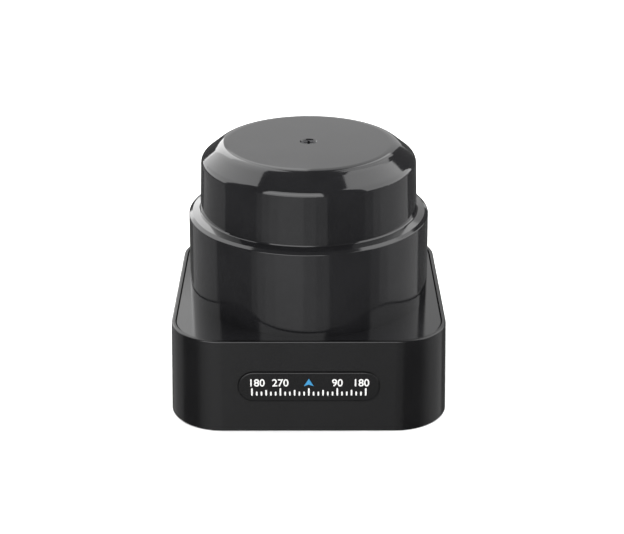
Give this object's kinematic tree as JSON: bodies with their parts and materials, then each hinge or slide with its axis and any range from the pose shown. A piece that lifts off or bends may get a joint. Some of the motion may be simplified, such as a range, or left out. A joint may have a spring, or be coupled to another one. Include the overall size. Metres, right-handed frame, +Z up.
{
  "type": "lidar scanner module",
  "caption": "Compact 360-degree lidar scanner: square black base, stepped round body, dark window cap, front badge, rear connector and a spinning optical head inside.",
  "frame": {"origin": "centre of the four mounting inserts, on the bottom face", "axes": "+Z up along the scan axis, out of the window cap; the badge faces -Y and the connector faces +Y; +X to the right seen from the badge side"},
  "size_m": [0.06, 0.0603, 0.055],
  "materials": {
    "case_plastic": "semi-gloss black moulding with a fine spark texture",
    "window_plastic": "glossy infrared-pass polycarbonate, black to the eye",
    "badge_plastic": "satin black with a fine printed scale",
    "label_film": "matt silver polyester film, blank",
    "seal_rubber": "soft matt silicone",
    "black_steel": "black oxide",
    "zinc_steel": "zinc plated",
    "brass_insert": "turned and knurled",
    "circuit_board": "green solder mask over fibreglass",
    "chip_epoxy": "moulded epoxy",
    "can_aluminium": "drawn can",
    "nylon_natural": "natural nylon",
    "tinned_brass": "bright tin plate",
    "turned_aluminium": "fine turned and clear anodised",
    "ground_steel": "ground and polished",
    "core_steel": "stamped laminations and nickel plate",
    "copper_wire": "enamelled copper winding",
    "flex_film": "amber polyimide film",
    "ferrite": "sintered ferrite",
    "optics_plastic": "dead black moulding",
    "lens_glass": "coated glass",
    "gold_can": "gold plated",
    "cage_plastic": "glass filled nylon"
  },
  "bodies": {
    "housing": {"base_housing": "case_plastic", "upper_housing": "case_plastic", "optical_window": "window_plastic", "cover_screw": "black_steel", "front_badge": "badge_plastic", "rating_label": "label_film", "case_gasket": "seal_rubber", "window_seal": "seal_rubber", "case_screws": "zinc_steel", "mount_inserts": "brass_insert", "main_board": "circuit_board", "main_board_chips": "chip_epoxy", "main_board_capacitors": "can_aluminium", "main_board_screws": "zinc_steel", "io_connector_shell": "nylon_natural", "io_connector_pins": "tinned_brass", "flex_connectors": "nylon_natural", "spindle_plate": "turned_aluminium", "spindle_plate_screws": "zinc_steel", "centre_spindle": "ground_steel", "stator_board": "circuit_board", "stator_core": "core_steel", "stator_coils": "copper_wire", "motor_flex": "flex_film", "lower_bearing_inner_ring": "ground_steel", "upper_bearing_inner_ring": "ground_steel", "preload_spring": "ground_steel", "retaining_clip": "black_steel", "coil_board": "circuit_board", "coil_board_screws": "zinc_steel", "fixed_power_coil": "copper_wire", "fixed_ferrite": "ferrite", "encoder_sensor": "chip_epoxy", "sensor_flex": "flex_film"},
    "rotor": {"rotor_hub": "turned_aluminium", "rotor_yoke": "core_steel", "rotor_magnet": "ferrite", "lower_bearing_outer_ring": "ground_steel", "upper_bearing_outer_ring": "ground_steel", "rotor_ferrite": "ferrite", "rotor_power_coil": "copper_wire", "encoder_disc": "ground_steel", "rotor_spacers": "turned_aluminium", "rotor_board": "circuit_board", "rotor_board_chips": "chip_epoxy", "optics_block": "optics_plastic", "rotor_screws": "zinc_steel", "emitter_lens": "lens_glass", "receiver_lens": "lens_glass", "optics_board": "circuit_board", "laser_diode": "gold_can", "photodetector": "gold_can", "light_baffle": "optics_plastic", "balance_weight": "brass_insert"},
    "bearing_cages": {"lower_bearing_balls": "ground_steel", "lower_bearing_cage": "cage_plastic", "upper_bearing_balls": "ground_steel", "upper_bearing_cage": "cage_plastic"}
  },
  "joints": [
    {"name": "scan_spin", "type": "hinge", "parent": "housing", "child": "rotor", "pos_m": [0, 0, 0.031], "axis": [0, 0, 1], "continuous": true},
    {"name": "cage_spin", "type": "hinge", "parent": "housing", "child": "bearing_cages", "pos_m": [0, 0, 0.031], "axis": [0, 0, 1], "continuous": true}
  ],
  "couplings": [
    {"joint": "cage_spin", "follows": "scan_spin", "ratio": 0.5987}
  ]
}
